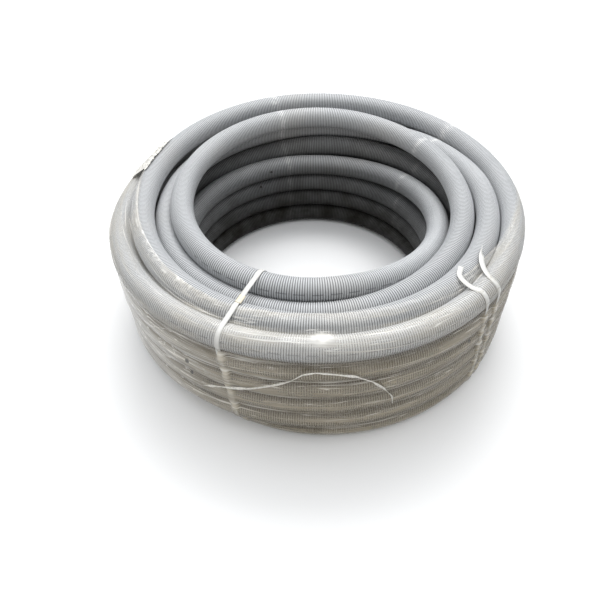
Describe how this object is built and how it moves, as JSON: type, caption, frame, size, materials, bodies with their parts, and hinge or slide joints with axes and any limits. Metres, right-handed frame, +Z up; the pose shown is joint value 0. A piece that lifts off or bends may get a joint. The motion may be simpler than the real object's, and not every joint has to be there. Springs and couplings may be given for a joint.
{
  "type": "waste hose coil",
  "caption": "Bulk coil of ribbed flexible waste hose for caravans, lying flat, tied with plastic straps and wrapped round its wall in clear stretch film.",
  "frame": {"origin": "on the floor, at the middle of the box round the coil", "axes": "+Z up along the coil's axis, -Y towards the front, where the loose strand of film lies on the wall, +X to the right seen from the front"},
  "size_m": [0.6244, 0.6206, 0.2248],
  "materials": {
    "hose_grey": "light grey flexible PVC, finely ribbed, satin",
    "strap_white": "white polypropylene strapping, satin",
    "weld_cream": "heat-welded strapping, slightly yellowed",
    "film_clear": "clear creased stretch film, glossy",
    "film_rolled": "bunched and rolled stretch film, milky white"
  },
  "bodies": {
    "root": {"hose_turn_01": "hose_grey", "hose_turn_02": "hose_grey", "hose_turn_03": "hose_grey", "hose_turn_04": "hose_grey", "hose_turn_05": "hose_grey", "hose_turn_06": "hose_grey", "hose_turn_07": "hose_grey", "hose_turn_08": "hose_grey", "hose_turn_09": "hose_grey", "hose_turn_10": "hose_grey", "hose_turn_11": "hose_grey", "hose_turn_12": "hose_grey", "hose_turn_13": "hose_grey", "hose_turn_14": "hose_grey", "hose_turn_15": "hose_grey", "hose_turn_16": "hose_grey", "strap_tied": "strap_white", "strap_weld": "weld_cream", "strap_cut_near": "strap_white", "strap_cut_far": "strap_white", "stretch_film": "film_clear", "film_strand": "film_rolled", "film_tail": "film_rolled"}
  },
  "joints": []
}
